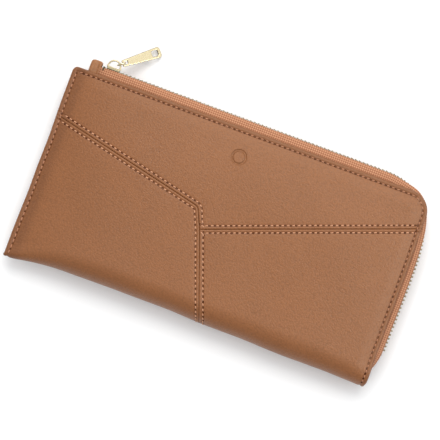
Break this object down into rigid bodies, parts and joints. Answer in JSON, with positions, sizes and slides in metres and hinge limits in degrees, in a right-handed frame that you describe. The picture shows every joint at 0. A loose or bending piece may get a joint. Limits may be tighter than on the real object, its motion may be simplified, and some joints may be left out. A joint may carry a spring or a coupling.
{
  "type": "zip around wallet",
  "caption": "Long leather wallet with an angled pieced front, a folded bottom, a sewn end and a metal zip along the top and one end, with a flat pull on a link.",
  "frame": {"origin": "on the surface the wallet lies on, under the middle of its box, the zip pull included", "axes": "+X along the length towards the zip's lower end, +Y from the bottom fold to the zip, +Z out of the front cover"},
  "size_m": [0.1988, 0.1256, 0.022],
  "materials": {
    "cover_leather": "fine grained tan leather, soft sheen",
    "pocket_leather": "thin smooth brown leather",
    "lining_cloth": "plain woven lining, matt",
    "stiffener_board": "hidden bonded fibre board, matt",
    "zip_tape_cloth": "twill woven zip tape",
    "zip_metal": "polished brass teeth",
    "slider_metal": "pale gold plate, bright"
  },
  "bodies": {
    "wallet_back": {"back_leather": "cover_leather", "back_board": "stiffener_board", "back_lining": "lining_cloth", "card_slot_1": "pocket_leather", "card_slot_2": "pocket_leather", "card_slot_3": "pocket_leather", "card_slot_4": "pocket_leather", "centre_divider": "lining_cloth", "zip_tape_back": "zip_tape_cloth", "zip_teeth_back": "zip_metal", "zip_top_stop_front": "zip_metal", "zip_top_stop_back": "zip_metal", "zip_bottom_stop": "zip_metal", "zip_end_tab": "cover_leather"},
    "front_cover": {"front_upper_leather": "cover_leather", "front_left_leather": "cover_leather", "front_right_leather": "cover_leather", "front_board": "stiffener_board", "front_lining": "lining_cloth", "front_slip_pocket": "pocket_leather", "zip_tape_front": "zip_tape_cloth", "zip_teeth_front": "zip_metal"},
    "zip_slider": {"slider_body": "slider_metal", "slider_crown": "slider_metal"},
    "zip_link": {"pull_link": "slider_metal"},
    "zip_pull": {"pull_tab": "slider_metal"}
  },
  "joints": [
    {"name": "cover_opening", "type": "hinge", "parent": "wallet_back", "child": "front_cover", "pos_m": [0, -0.06275, 0.011], "axis": [1, 0, 0], "range_deg": [0, 35]},
    {"name": "slider_travel", "type": "slide", "parent": "wallet_back", "child": "zip_slider", "axis": [1, 0, 0], "range_m": [0, 0.145]},
    {"name": "link_swing", "type": "hinge", "parent": "zip_slider", "child": "zip_link", "pos_m": [-0.07745, 0.04728, 0.011], "axis": [0.6361, -0.7716, 0], "range_deg": [0, 100]},
    {"name": "pull_swing", "type": "hinge", "parent": "zip_link", "child": "zip_pull", "pos_m": [-0.07544, 0.04894, 0.00984], "axis": [0.3138, 0.2587, 0.9135], "range_deg": [-30, 60]}
  ]
}
